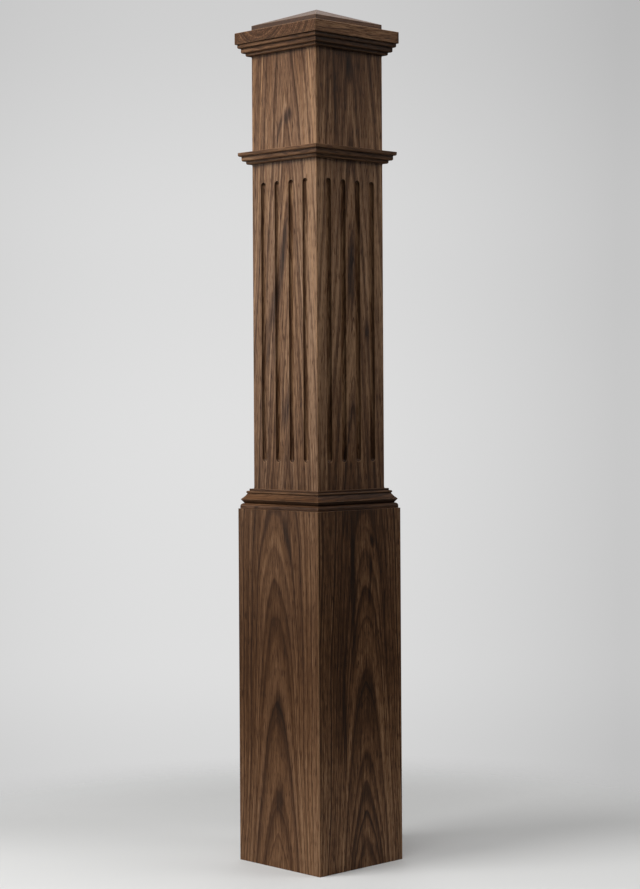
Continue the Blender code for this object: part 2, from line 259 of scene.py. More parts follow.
def board_rings(half, sizes, heights, arris, inset, across, count=5):
    """Rings of points round a mitred board, one at each height, and their edge values.

    A ring runs along the outer face, round a quarter of the eased corner down to the mitre, along the mitre to the
    inner face, back along that, and up the other mitre and corner. Each corner point is the corner's centre plus
    the radius times sine and cosine of an angle that grows to the mitre.
    """
    back = sizes.joint_gap / math.sqrt(2)
    heights, arris = heights[:, None], np.broadcast_to(arris, heights.shape)[:, None]
    outer = half - np.broadcast_to(inset, heights.shape[:1])[:, None]
    inner = np.full_like(outer, half - sizes.board_thickness)
    flat_end = outer - arris
    support = flat_end - FACE_SUPPORT
    last = math.pi / 4 - np.arcsin(back / math.sqrt(2) / arris)
    angle = np.linspace(0, 1, count + 1)[None, 1:] * last
    corner_x, corner_out = flat_end + arris * np.sin(angle), flat_end + arris * np.cos(angle)
    columns = np.broadcast_to(across, (len(heights), len(across)))
    x = np.concatenate(
        (-flat_end, -support, columns, support, flat_end, corner_x, inner - back, back - inner, -corner_x[:, ::-1]),
        axis=1,
    )
    face = np.repeat(outer, len(across) + 4, axis=1)
    out = np.concatenate((face, corner_out, inner, inner, corner_out[:, ::-1]), axis=1)
    # Edge value on the eased corners: wear and a painted highlight
    wear_and_highlight = np.broadcast_to(np.sin(2 * angle) * (arris > WEAR_AND_HIGHLIGHT_ARRIS), corner_x.shape)
    value = np.concatenate((np.zeros_like(face), wear_and_highlight, 0 * inner, 0 * inner, wear_and_highlight[:, ::-1]), axis=1)
    return np.stack((x, -out, np.broadcast_to(heights, x.shape)), axis=-1), value


def eased_ends(low, high, easing, count=4):
    """Heights near a board's two ends, and how far its outer face draws in there, as quarter circles."""
    angle = np.linspace(0, QUARTER_TURN, count + 1)
    draw = easing * (1 - np.sin(angle))
    rise = easing * (1 - np.cos(angle))
    heights = np.concatenate((low + rise, [low + 2 * easing, high - 2 * easing], (high - rise)[::-1]))
    return heights, np.concatenate((draw, [0, 0], draw[::-1]))


def board_patch(rings, value, skip=None):
    """Faces of a board: quads between its rings, less the window of the face that skip gives, and two end faces."""
    rows, columns = rings.shape[:2]
    sides = quads(rows, columns, closed=True)
    keep = np.ones(sides.shape[:2], bool)
    if skip is not None:
        (first_row, last_row), (first_column, last_column) = skip
        keep[first_row:last_row, first_column:last_column] = False
    foot = np.arange(columns)[None, ::-1]
    head = ((rows - 1) * columns + np.arange(columns))[None]
    return rings, value, (sides[keep], foot, head)


def flute_ends(sizes):
    """Half the width of a flute at the face, and the heights of the centres of its two round ends."""
    end = math.sqrt(sizes.flute_radius**2 - (sizes.flute_radius - sizes.flute_depth) ** 2)
    return end, sizes.flute_foot + end, sizes.flute_head - end


def flute_outline(low, high):
    """The loop that a flute's cross-section is carried round: its line of centres, outward directions and angles.

    It runs up the right side, round the upper end, down the left side and round the lower end.
    """
    up = np.linspace(low, high, FLUTE_ROWS + 1)[1:-1]
    turn = np.linspace(0, math.pi, FLUTE_BENDS + 1)
    angle = np.concatenate((0 * up, turn, 0 * up + math.pi, turn + math.pi))
    centre = np.concatenate((up, 0 * turn + high, up[::-1], 0 * turn + low))
    return centre, np.stack((np.cos(angle), np.sin(angle)), axis=-1)


def flute_cell(middle, face, sizes):
    """A flute and the square-ended field of the face round it, as one patch.

    A point is the line of centres plus the outward direction times a distance. Inside, the distance is the cutter's
    radius times the sine of an angle, and the depth is the radius times its cosine less the cutter's stand-off.
    Outside, the distance grows to the field's border: half the spacing, over the larger of the direction's parts.
    """
    radius, stand_off = sizes.flute_radius, sizes.flute_radius - sizes.flute_depth
    end, low, high = flute_ends(sizes)
    centre, outward = flute_outline(low, high)
    last = math.acos((stand_off + sizes.flute_rim) / radius)
    angle = np.linspace(0, last, 11)
    distance = np.concatenate((radius * np.sin(angle), [end + sizes.flute_rim / 2, end + 0.0008]))
    depth = np.concatenate((radius * np.cos(angle) - stand_off, [0, 0]))
    border = sizes.flute_spacing / 2 / np.abs(outward).max(axis=1)
    distance = np.concatenate((np.broadcast_to(distance, (len(border), len(distance))), border[:, None]), axis=1)
    depth = np.broadcast_to(np.append(depth, 0), distance.shape)
    x = middle + outward[:, :1] * distance
    z = centre[:, None] + outward[:, 1:] * distance
    loop = np.stack((x, depth - face, z), axis=-1)
    rows, columns = loop.shape[:2]
    return loop, FLUTE_EDGES, (quads(rows + 1, columns) % (rows * columns),)


def shaft_board(name, side, sizes):
    """A full-height shaft board: rings up the board, with the four flute cells let into its face."""
    _, low, high = flute_ends(sizes)
    field = sizes.flute_spacing / 2
    turn = np.linspace(0, math.pi, FLUTE_BENDS + 1)
    steep = turn[: FLUTE_BENDS // 4 + 1]
    flat = turn[FLUTE_BENDS // 4 : FLUTE_BENDS * 3 // 4 + 1]
    rise = field * np.tan(steep)
    window = np.concatenate((low - rise[::-1], np.linspace(low, high, FLUTE_ROWS + 1)[1:-1], high + rise))
    middles = (np.arange(4) - 1.5) * sizes.flute_spacing
    across = np.unique((middles[:, None] + field / np.tan(flat)[None, ::-1]).round(9))
    ends, draw = eased_ends(0.0, SHAFT_HEAD, sizes.end_easing)
    stops = np.array((BASE_CAP_HEAD, NECK_FOOT, NECK_HEAD, CAP_MOULDING_FOOT))
    away = np.array((1, -1, 1, -1)) * sizes.arris_stop
    stretch = np.concatenate((stops + away, stops + 3 * away))
    gaps = (ends[5], BASE_CAP_HEAD, 8), (stretch[4], window[0], 4), (window[-1], stretch[5], 4), (*stretch[6:8], 8)
    between = np.concatenate([np.linspace(*gap)[1:-1] for gap in gaps])
    plain = np.concatenate((ends, stretch, between))
    heights = np.concatenate((plain, window))
    order = np.argsort(heights, kind="stable")
    inset = np.concatenate((draw, np.zeros(len(heights) - len(draw))))[order]
    heights = heights[order]
    eased_part = np.zeros(len(heights), bool)
    for foot, head in ((stretch[4], stretch[5]), (stretch[6], stretch[7])):
        eased_part |= (heights > foot - 1e-6) & (heights < head + 1e-6)
    arris = np.where(eased_part, sizes.arris, sizes.hidden_arris)
    rings, value = board_rings(SHAFT_HALF, sizes, heights, arris, inset, across)
    first = int(np.argmin(np.abs(heights - window[0])))
    last = int(np.argmin(np.abs(heights - window[-1])))
    patches = [board_patch(rings, value, ((first, last), (2, len(across) + 1)))]
    patches += [flute_cell(middle, SHAFT_HALF, sizes) for middle in middles]
    return make_mesh(name, patches, side)


def base_board(name, side, sizes):
    """A plain base board with eased corners and ends."""
    ends, draw = eased_ends(0.0, BASE_HEAD, sizes.end_easing)
    between = np.linspace(ends[5], ends[6], 14)[1:-1]
    heights = np.concatenate((ends[:6], between, ends[6:]))
    inset = np.concatenate((draw[:6], 0 * between, draw[6:]))
    across = np.linspace(-1, 1, 9) * (BASE_HALF - 0.008)
    rings, value = board_rings(BASE_HALF, sizes, heights, sizes.arris, inset, across)
    return make_mesh(name, [board_patch(rings, value)], side)


# Mouldings


def stepped_section(easing):
    """Section of the stepped moulding, as depth and height: three steps, each rounded under with a small quirk."""
    top, middle, low = 0.0164, 0.0121, 0.0067
    head, under_top, under_middle = 0.0196, 0.0132, 0.0052
    round_under, quirk = 0.0026, 0.00015
    corners = (
        (0, 0), (0, head), (top, head), (top, under_top), (middle, under_top),
        (middle, under_middle), (low, under_middle), (low, 0),
    )
    radii = (0, 0, easing, round_under, quirk, round_under, quirk, round_under)
    return eased(corners, radii, count=8)


def base_cap_section(easing):
    """Section of the base cap, as depth and height: edge, quarter round, flared nose, bead and fillet."""
    edge, fillet, ovolo = 0.0158, 0.0036, 0.0050
    nose, bead, flare_sag = (0.0154, 0.0150), 0.0021, 0.0007
    bead_centre = (0.0067, 0.0268)
    top_depth, top_foot, head = 0.0049, 0.0289, 0.0324
    start = arc(bead_centre, bead, -75, -75, 0)[0]
    share = np.linspace(0, 1, 9)[:, None]
    chord = start - np.array(nose)
    side = np.array((-chord[1], chord[0])) / np.linalg.norm(chord)
    flare = np.array(nose) + chord * share + side * flare_sag * 4 * share * (1 - share)
    quarter = arc((edge - ovolo, fillet), ovolo, 0, 90, 10)
    round_bead = arc(bead_centre, bead, -75, 90, 12)
    top = [(top_depth, top_foot), (top_depth, head), (0, head)]
    corners = np.concatenate(([(0, 0), (edge, 0)], quarter, flare, round_bead[1:], top))
    radii = np.zeros(len(corners))
    radii[1] = easing
    radii[2 + len(quarter)] = 0.0005
    radii[-2] = easing
    points, value = eased(corners, radii, count=5)
    # Crests with wear and a painted highlight, and quirks darkened with painted shade: place, how far each spreads,
    # and its edge value
    marks = (
        ((bead_centre[0] + bead, bead_centre[1]), 0.0012, 0.4), ((edge - ovolo, fillet + ovolo), 0.0012, -1.0),
        ((top_depth, top_foot), 0.0008, -1.0),
    )
    for place, width, strength in marks:
        value = value + strength * np.exp(-(((points - place) / width) ** 2).sum(1))
    return points, value


def moulding_length(name, side, section, foot, sizes):
    """A length of moulding: its section carried along the face, with each point's run ended at the mitre plane."""
    outline, value = section
    out = SHAFT_HALF + sizes.seat_gap + outline[:, 0]
    ends = out - sizes.joint_gap / math.sqrt(2)
    stations = np.linspace(-1, 1, 13)[:, None]
    x = stations * ends[None]
    points = np.stack((x, np.broadcast_to(-out, x.shape), np.broadcast_to(foot + outline[:, 1], x.shape)), axis=-1)
    rows, columns = x.shape
    sides = quads(rows, columns, closed=True)
    near = np.arange(columns)[None]
    far = ((rows - 1) * columns + np.arange(columns))[None, ::-1]
    return make_mesh(name, [(points, np.broadcast_to(value, x.shape), (sides, near, far))], side)


# Cap


def square_turning(name, half, corner, profile, value):
    """A closed square shape: a profile of (inset, height) carried round a square with rounded corners.

    A point is the square's own direction times the half width less the inset and the corner's radius, plus that
    radius times the outward direction, which turns by a quarter at each corner. The radius fades out at the middle.
    """
    along = np.array((-1, -0.985, -0.75, -0.5, -0.25, 0, 0.25, 0.5, 0.75, 0.985))
    bend = np.linspace(0, QUARTER_TURN, 7)[:-1]
    steady = np.ones_like(along)
    lane = np.concatenate((np.stack((along, -steady), axis=-1), np.tile((1.0, -1.0), (len(bend), 1))))
    facing = np.concatenate((np.stack((0 * along, -steady), axis=-1), np.stack((np.sin(bend), -np.cos(bend)), -1)))
    # Edge value on the rounded corners: wear and a painted highlight
    wear_and_highlight = np.concatenate((0 * along, np.sin(2 * bend)))
    turns = [np.array(((c, -s), (s, c))) for c, s in ((1, 0), (0, 1), (-1, 0), (0, -1))]
    lane = np.concatenate([lane @ turn.T for turn in turns])
    facing = np.concatenate([facing @ turn.T for turn in turns])
    wear_and_highlight = np.tile(wear_and_highlight, len(turns))
    inset, height = profile[:, 0][:, None], profile[:, 1][:, None]
    radius = np.minimum(corner, half - inset)
    plan = lane[None] * (half - inset - radius)[..., None] + facing[None] * radius[..., None]
    points = np.concatenate((plan, np.broadcast_to(height, plan.shape[:2])[..., None]), axis=-1)
    edges = np.maximum(np.broadcast_to(value[:, None], plan.shape[:2]), 0.8 * wear_and_highlight[None])
    rows, columns = plan.shape[:2]
    return make_mesh(name, [(points, edges, (quads(rows, columns, closed=True),))])


def cap_profile(corners, radii):
    """An eased outline that starts at its first corner, and its edge values without their sign."""
    profile, value = eased(corners, radii, count=6)
    start = int(np.argmin(np.abs(profile - corners[0]).sum(1)))
    return np.roll(profile, -start, axis=0), np.abs(np.roll(value, -start))


def cap_board_mesh(name, sizes):
    """The flat cap board: its profile goes under, round the lower edge, up, round the upper edge and across."""
    foot, head, half = CAP_BOARD_FOOT, CAP_BOARD_HEAD, CAP_BOARD_HALF
    corners = ((half, foot), (0, foot), (0, head), (half, head))
    radii = (0, sizes.cap_board_arris, sizes.cap_board_arris, 0)
    return square_turning(name, half, sizes.cap_board_arris, *cap_profile(corners, radii))


def cap_block_mesh(name, sizes):
    """The cap block: an upright edge below four slopes that rise evenly with the inset to a point."""
    foot, head, half = CAP_BLOCK_FOOT, CAP_BLOCK_HEAD, CAP_BLOCK_HALF
    edge = foot + sizes.cap_block_edge
    corners = ((half, foot), (0, foot), (0, edge), (half / 2, (edge + head) / 2), (half, head))
    radii = (0, sizes.end_easing, sizes.cap_block_arris, 0, 0)
    return square_turning(name, half, sizes.cap_block_arris, *cap_profile(corners, radii))


# Walnut


class Nodes:
    """Adds nodes to a tree: an input given as another node's output is linked, and any other value is set."""

    def __init__(self, tree):
        self.tree = tree

    def add(self, kind, inputs, output=0, **settings):
        """Add one node and give back the output asked for."""
        node = self.tree.nodes.new("ShaderNode" + kind)
        for name, value in settings.items():
            setattr(node, name, value)
        for key, value in inputs.items():
            if isinstance(value, bpy.types.NodeSocket):
                self.link(value, node.inputs[key])
            else:
                node.inputs[key].default_value = value
        return node.outputs[output]

    def link(self, source, target):
        """Link an output to an input."""
        self.tree.links.new(source, target)

    def math(self, operation, *values, clamp=False):
        """A sum of numbers."""
        return self.add("Math", dict(enumerate(values)), operation=operation, use_clamp=clamp)

    def vector(self, operation, *values, output=0):
        """A sum of vectors."""
        return self.add("VectorMath", dict(enumerate(values)), output, operation=operation)

    def scaled(self, vector, factor):
        """A vector or colour times a number."""
        return self.add("VectorMath", {0: vector, "Scale": factor}, operation="SCALE")

    def towards(self, vector, direction):
        """How far a vector goes in a direction."""
        return self.vector("DOT_PRODUCT", vector, tuple(direction), output=1)

    def part(self, vector, axis):
        """One of a vector's three numbers."""
        return self.add("SeparateXYZ", {0: vector}, axis)

    def weighted(self, start, values, weights):
        """A start plus each named value times its weight."""
        for name, weight in weights.items():
            start = self.math("MULTIPLY_ADD", values[name], weight, start)
        return start

    def noise(self, place, scale, detail=2.0, rough=0.5, output=0, dimensions="3D"):
        """Soft noise with a middle of one half."""
        key = "W" if dimensions == "1D" else "Vector"
        inputs = {key: place, "Scale": scale, "Detail": detail, "Roughness": rough}
        return self.add("TexNoise", inputs, output, noise_dimensions=dimensions)

    def drawn(self, place, scale, detail, rough, output=0):
        """Soft noise drawn out by a scale of its own for each axis."""
        return self.noise(self.vector("MULTIPLY", place, scale), 1.0, detail, rough, output)

    def span(self, value, low, high, start=0.0, end=1.0):
        """A smooth step from start to end as the value goes from low to high."""
        inputs = {0: value, 1: low, 2: high, 3: start, 4: end}
        return self.add("MapRange", inputs, interpolation_type="SMOOTHSTEP")

    def mix(self, share, first, second):
        """A mix of two colours."""
        return self.add("Mix", {0: share, 6: first, 7: second}, 2, data_type="RGBA")

    def ramp(self, value, stops, interpolation="LINEAR"):
        """A colour that goes through two or more given stops of (place, colour)."""
        node = self.tree.nodes.new("ShaderNodeValToRGB")
        self.link(value, node.inputs[0])
        band = node.color_ramp
        band.interpolation = interpolation
        while len(band.elements) < len(stops):
            band.elements.new(1.0)
        for element, (place, shade) in zip(band.elements, stops):
            element.position = place
            element.color = (*shade, 1.0) if len(np.shape(shade)) else (shade, shade, shade, 1.0)
        return node.outputs[0]


def new_group(name, inputs, outputs):
    """Start a node group with the given sockets, as name and kind, and give back its helper, input and output."""
    tree = bpy.data.node_groups.new(name, "ShaderNodeTree")
    for way, sockets in (("INPUT", inputs), ("OUTPUT", outputs)):
        for socket, kind in sockets:
            tree.interface.new_socket(name=socket, in_out=way, socket_type="NodeSocket" + kind)
    entry = tree.nodes.new("NodeGroupInput").outputs
    leave = tree.nodes.new("NodeGroupOutput").inputs
    return Nodes(tree), entry, leave


# How the pith wanders: scale of the noise, its detail and roughness, and the shift across, into and along the wood
WANDERS = (
    ((6.0, 6.0, 2.4), 1.0, 0.4, (0.034, 0.020, 0.12)),
    ((48.0, 48.0, 9.0), 2.0, 0.5, (0.0050, 0.0030, 0.03)),
)


def ring_group():
    """Height at which the growth ring through a point peaks on the board's middle line.

    The board's frame has X across, Y into the wood and Z along the grain, with the pith at a depth behind the face.
    The height is Z plus the slope times (R - P) plus the swell times (R cubed - P cubed), where R is the distance
    from the pith and P the pith's depth. So the rings draw nested pointed arches on the face, whose sides grow
    steeper until they are near-straight lines. Noise makes the pith wander.
    """
    nodes, entry, leave = new_group(
        "growth_rings",
        (("Place", "Vector"), ("Pith Depth", "Float"), ("Slope", "Float"), ("Swell", "Float"), ("Seed", "Vector")),
        (("Ring", "Float"), ("Place", "Vector")),
    )
    place, pith = entry["Place"], entry["Pith Depth"]
    seeded = nodes.vector("ADD", place, entry["Seed"])
    for scale, detail, rough, shift in WANDERS:
        field = nodes.vector("SUBTRACT", nodes.drawn(seeded, scale, detail, rough, output=1), (0.5, 0.5, 0.5))
        place = nodes.vector("ADD", place, nodes.vector("MULTIPLY", field, shift))
    x, below = nodes.part(place, 0), nodes.math("SUBTRACT", pith, nodes.part(place, 1))
    squares = nodes.math("ADD", nodes.math("MULTIPLY", x, x), nodes.math("MULTIPLY", below, below))
    away = nodes.math("SQRT", squares)
    depth = nodes.math("ABSOLUTE", pith)
    ring = nodes.math("MULTIPLY_ADD", nodes.math("SUBTRACT", away, depth), entry["Slope"], nodes.part(place, 2))
    cubes = nodes.math("SUBTRACT", nodes.math("POWER", away, 3.0), nodes.math("POWER", depth, 3.0))
    nodes.link(nodes.math("MULTIPLY_ADD", cubes, entry["Swell"], ring), leave["Ring"])
    nodes.link(place, leave["Place"])
    return nodes.tree


# Noises along the ring height: shift, scale, detail and roughness
RING_NOISES = {"slow": (0.0, 6.5, 2.0, 0.5), "quick": (7.3, 15.0, 4.0, 0.68), "uneven": (3.1, 9.0, 1.0, 0.5)}
# Noises drawn out along the grain: scale across, into and along the wood, detail and roughness
GRAIN_NOISES = {
    "thread": ((520.0, 520.0, 17.0), 3.0, 0.65),
    "fibre": ((1100.0, 1100.0, 30.0), 2.0, 0.6),
    "mottle": ((22.0, 22.0, 9.0), 3.0, 0.55),
    "flecks": ((640.0, 640.0, 46.0), 1.0, 0.5),
    "pores": ((1900.0, 1900.0, 70.0), 1.0, 0.4),
}
STREAK_NOISE = ((170.0, 170.0, 2.2), 3.0, 0.6)
RINGS_PER_METRE, RING_UNEVENNESS = 15.0, 4.0

# The darkness goes from 0, pale, through the middle brown and the deep wood to 1, dark
MIDDLE_LEVEL, DEEP_LEVEL = 0.36, 0.62
DARKNESS_WEIGHTS = {
    "slow": 0.50, "quick": 0.46, "lesser": 0.32, "lines": 0.60, "streak": 0.40, "thread": 0.84, "fibre": 0.46,
    "flecks": 0.30, "mottle": 0.20, "pores": 0.20, "stain": 0.46,
}
WEIGHTED_MEAN = 1.87  # mean of the darkness's weighted parts
ROUGHNESS_WEIGHTS = {"mottle": 0.10, "pores": 0.18, "wear_and_highlight": -0.05}
RELIEF_WEIGHTS = {"fibre": 0.5, "pores": -0.7, "lesser": 0.15}
LESSER_RISE, LESSER_FALL = 2.5, (0.90, 1.0, 1.0, 0.0)  # power of a lesser line's rise, and where it stops
FLECK_SPAN, PORE_SPAN, TINT_SPAN = (0.56, 0.68), (0.60, 0.70), (0.44, 0.62)  # parts of a noise that show
PORE_CROWDING = 0.06  # how much more pores open towards a ring's end
TINT_BANDS = (7.0, 3.0)  # scales of the cool tint along the ring height and its slow noise
BAND_COOLNESS, STAIN_COOLNESS = 0.34, 0.7
WEAR_AND_HIGHLIGHT_SHARE, PAINTED_SHADE_SHARE = 0.46, 0.70  # shares of pale on arrises, for wear and a painted highlight, and of dark in quirks and flutes, for painted shade


def wood_group(colours):
    """Walnut's colour, roughness and relief from a point's ring, its place, the main lines and the stains.

    The darkness is a base, plus slow and quick noise along the ring height, the board's main lines, lesser lines that
    build up to each ring's end and stop sharply, streaks and fibres drawn out along the grain, and pores.
    """
    nodes, entry, leave = new_group(
        "walnut_figure",
        (
            ("Ring", "Float"), ("Place", "Vector"), ("Straight", "Vector"), ("Lines", "Float"), ("Stain", "Float"),
            ("Darkness", "Float"), ("Contrast", "Float"), ("Greyness", "Float"), ("Edge", "Float"),
        ),
        (("Colour", "Color"), ("Roughness", "Float"), ("Height", "Float")),
    )
    ring = entry["Ring"]
    parts = {"lines": entry["Lines"], "stain": entry["Stain"], "streak": nodes.drawn(entry["Place"], *STREAK_NOISE)}
    for name, (shift, *noise) in RING_NOISES.items():
        parts[name] = nodes.noise(nodes.math("ADD", ring, shift), *noise, dimensions="1D")
    for name, noise in GRAIN_NOISES.items():
        parts[name] = nodes.drawn(entry["Straight"], *noise)
    uneven = nodes.math("MULTIPLY", parts["uneven"], RING_UNEVENNESS)
    count = nodes.math("MULTIPLY_ADD", ring, RINGS_PER_METRE, uneven)
    within = nodes.math("FRACT", count)
    chance = nodes.add("TexWhiteNoise", {"W": nodes.math("FLOOR", count)}, noise_dimensions="1D")
    line = nodes.math("MULTIPLY", nodes.math("POWER", within, LESSER_RISE), nodes.span(within, *LESSER_FALL))
    parts["lesser"] = nodes.math("MULTIPLY", line, chance)
    parts["flecks"] = nodes.span(parts["flecks"], *FLECK_SPAN)
    crowding = nodes.math("MULTIPLY", within, PORE_CROWDING)
    parts["pores"] = nodes.span(nodes.math("ADD", parts["pores"], crowding), *PORE_SPAN)
    # The edge value above 0 gives wear and a painted highlight; below 0 it gives painted shade in quirks and flutes
    parts["wear_and_highlight"] = nodes.math("MULTIPLY", entry["Edge"], 1.0, clamp=True)
    quirk = nodes.math("MULTIPLY", entry["Edge"], -1.0, clamp=True)
    total = nodes.weighted(-WEIGHTED_MEAN, parts, DARKNESS_WEIGHTS)
    base = nodes.math("ADD", entry["Darkness"], MIDDLE_LEVEL)
    level = nodes.math("MULTIPLY_ADD", total, entry["Contrast"], base)
    shades = (colours.pale, colours.brown, colours.deep, colours.dark)
    shade = nodes.ramp(level, list(zip((0.0, MIDDLE_LEVEL, DEEP_LEVEL, 1.0), map(tuple, shades))))
    bands = enumerate((ring, parts["slow"]))
    bands = {axis: nodes.math("MULTIPLY", value, TINT_BANDS[axis]) for axis, value in bands}
    tint = nodes.span(nodes.noise(nodes.add("CombineXYZ", bands), 1.0), *TINT_SPAN)
    cool = nodes.math("MULTIPLY_ADD", tint, BAND_COOLNESS, nodes.math("MULTIPLY", parts["stain"], STAIN_COOLNESS))
    cool = nodes.math("MULTIPLY", cool, entry["Greyness"], clamp=True)
    light = nodes.add("RGBToBW", {0: shade})
    grey_light = nodes.add("RGBToBW", {0: (*colours.grey, 1.0)})
    grey = nodes.scaled(tuple(colours.grey), nodes.math("DIVIDE", light, grey_light))
    shade = nodes.mix(cool, shade, grey)
    shade = nodes.mix(nodes.math("MULTIPLY", parts["wear_and_highlight"], WEAR_AND_HIGHLIGHT_SHARE), shade, (*colours.pale, 1.0))
    shade = nodes.mix(nodes.math("MULTIPLY", quirk, PAINTED_SHADE_SHARE), shade, (*colours.dark, 1.0))
    nodes.link(shade, leave["Colour"])
    nodes.link(nodes.weighted(colours.roughness - 0.05, parts, ROUGHNESS_WEIGHTS), leave["Roughness"])
    nodes.link(nodes.weighted(0.0, parts, RELIEF_WEIGHTS), leave["Height"])
    return nodes.tree


def group_of(name, make, *arguments):
    """A node group by name, made on its first use."""
    return bpy.data.node_groups.get(name) or make(*arguments)


def new_material(name):
    """Start a material, and give it back with its helper and its main shader."""
    material = bpy.data.materials.new(name)
    material.use_nodes = True
    return material, Nodes(material.node_tree), material.node_tree.nodes["Principled BSDF"]


# Figure of each board: the middle of its arches, the pith's depth behind the face, the slope and swell of its rings
# beside the middle, how dark the board is, how grey its streaks are, how strongly the parts of its darkness show, and
# the seed of its noise. Flanks are what is added to the darkness at the board's left and right side, and stretches
# what is added along it, as (height, darkness); the stretches are partly the wood's own tone and partly painted light
# and shade, lighter near the floor and darker at the shaft's two ends next to the mouldings.
# Lines are the main bands as (height of the arch's peak, strength, width), where a strength below 0 is paler.
# Stains are (across, height, half width, half length, strength, slant), across being from the board's middle.
FIGURES = {
    "shaft_front": {
        "middle": 0.004, "pith": 0.005, "slope": 11.0, "swell": 300.0, "darkness": -0.03, "greyness": 0.38,
        "contrast": 1.0,
        "stretches": ((0.62, 0.16), (0.72, 0.07), (0.90, -0.02), (1.16, 0.05), (1.25, 0.06), (1.34, 0.21)),
        "flanks": (0.0, -0.16),
        "seed": (3.1, 0.4, 1.3),
        "lines": (
            (0.637, 0.9, 0.03), (0.690, 0.9, 0.03), (0.800, -0.6, 0.07), (0.905, 0.6, 0.06), (1.080, 0.8, 0.05),
            (1.236, 0.5, 0.04), (1.290, 0.7, 0.03), (1.520, 0.9, 0.08), (1.800, 0.8, 0.10),
        ),
        "stains": (
            (-0.017, 0.960, 0.011, 0.090, 1.0, 0.28), (0.009, 1.222, 0.012, 0.018, 0.9, 0.0),
            (-0.012, 1.200, 0.005, 0.030, 0.7, 0.36), (-0.041, 0.855, 0.005, 0.030, 0.6, 0.10),
            (-0.005, 0.765, 0.009, 0.035, 0.7, 0.15),
        ),
    },
    "shaft_right": {
        "middle": 0.002, "pith": 0.005, "slope": 11.0, "swell": 300.0, "darkness": 0.07, "greyness": 0.16,
        "contrast": 1.10,
        "stretches": ((0.62, 0.17), (0.72, 0.0), (0.90, -0.14), (1.10, -0.06), (1.22, 0.0), (1.34, 0.26)),
        "flanks": (-0.14, -0.08),
        "seed": (8.7, 2.2, 5.9),
        "lines": (
            (0.637, 0.8, 0.03), (0.765, 0.9, 0.04), (0.900, -0.5, 0.06), (1.020, 0.7, 0.05), (1.200, 0.6, 0.06),
            (1.360, 0.9, 0.05), (1.560, 0.7, 0.08), (1.850, 0.8, 0.10),
        ),
        "stains": (
            (-0.001, 0.920, 0.009, 0.080, 1.0, 0.0), (0.031, 0.845, 0.005, 0.020, 0.8, 0.0),
            (0.000, 1.285, 0.007, 0.030, 0.7, 0.0), (-0.033, 1.240, 0.004, 0.080, 0.8, 0.0),
        ),
    },
    "base_front": {
        "middle": -0.004, "pith": 0.004, "slope": 1.9, "swell": 1350.0, "darkness": 0.13, "greyness": 0.16,
        "contrast": 0.84,
        "stretches": ((0.03, -0.07), (0.14, -0.01), (0.24, 0.07), (0.36, 0.18), (0.48, 0.05), (0.56, 0.03)),
        "flanks": (0.0, -0.12),
        "seed": (1.9, 6.4, 2.8),
        "lines": (
            (0.159, 0.9, 0.06), (0.307, 1.0, 0.06), (0.418, 0.6, 0.04), (0.545, -0.4, 0.07), (0.600, 0.9, 0.03),
            (0.760, 0.7, 0.05), (0.960, 0.9, 0.07), (1.250, 0.9, 0.10), (1.600, 0.7, 0.12),
        ),
        "stains": (
            (0.022, 0.545, 0.006, 0.050, 0.6, -0.12), (0.001, 0.145, 0.012, 0.030, 0.6, 0.0),
            (0.002, 0.285, 0.010, 0.030, 0.5, 0.0),
        ),
    },
    "base_right": {
        "middle": 0.010, "pith": 0.004, "slope": 1.6, "swell": 1350.0, "darkness": 0.28, "greyness": 0.05,
        "contrast": 1.30,
        "stretches": ((0.03, -0.19), (0.14, -0.13), (0.24, -0.03), (0.36, 0.10), (0.48, 0.01), (0.56, 0.0)),
        "flanks": (0.0, -0.10),
        "seed": (5.5, 9.1, 7.7),
        "lines": (
            (0.029, 0.8, 0.03), (0.080, 0.8, 0.03), (0.119, 0.8, 0.03), (0.179, 1.0, 0.03), (0.322, 0.8, 0.05),
            (0.400, -0.4, 0.05), (0.640, 0.8, 0.08), (0.900, 0.9, 0.10), (1.250, 0.9, 0.12),
        ),
        "stains": (
            (-0.022, 0.460, 0.007, 0.130, 0.9, 0.0), (0.027, 0.531, 0.006, 0.012, 1.0, 0.0),
            (0.022, 0.470, 0.004, 0.055, 0.6, 0.10), (-0.043, 0.240, 0.006, 0.110, 0.8, 0.0),
            (-0.040, 0.560, 0.004, 0.030, 0.7, 0.2),
        ),
    },
}
PLAIN_FIGURE = {
    "middle": 0.0, "pith": 0.060, "slope": 26.0, "swell": 0.0, "greyness": 0.0, "contrast": 0.72,
    "stretches": ((0.0, 0.0), (SHAFT_HEAD, 0.0)), "flanks": (0.0, 0.0),
    "lines": ((0.20, 0.5, 0.05), (0.60, 0.6, 0.08), (1.10, 0.7, 0.10)), "stains": (),
}
LINE_SPAN = (-0.2, 2.4)  # ring heights that the main bands' ramp covers
LINE_CREST, LINE_FALL = 0.15, 0.008  # a band's crest before its peak, as a share of its width, and its fall beyond
NO_CHANGE = 0.5  # value of a ramp that neither darkens nor lightens
FLANK_START, FLANK_END = 0.030, 0.072  # from a board's middle line
END_DEPTH = 0.003  # how far end grain darkens the wood
FINISH_INDEX, SHINE = 1.50, 0.11  # refraction of the finish, and how much it reflects unless a figure says otherwise
STAIN_NOISE, STAIN_RAGGEDNESS, STAIN_REACH = ((120.0, 120.0, 9.0), 3.0, 0.6), 0.9, (0.55, 1.75)
SEED_STEPS = (1.7, 2.3, 3.1)  # between the seeds of plain pieces
HIDDEN_SEED, HIDDEN_STAIN = 11.0, 0.7  # what is added to a hidden board's seed, and what its stains are times
MOULDING_CUT, CAP_BOARD_CUT, CAP_BLOCK_CUT = 0.6, 0.6, 0.9  # where along the grain a piece's middle lies


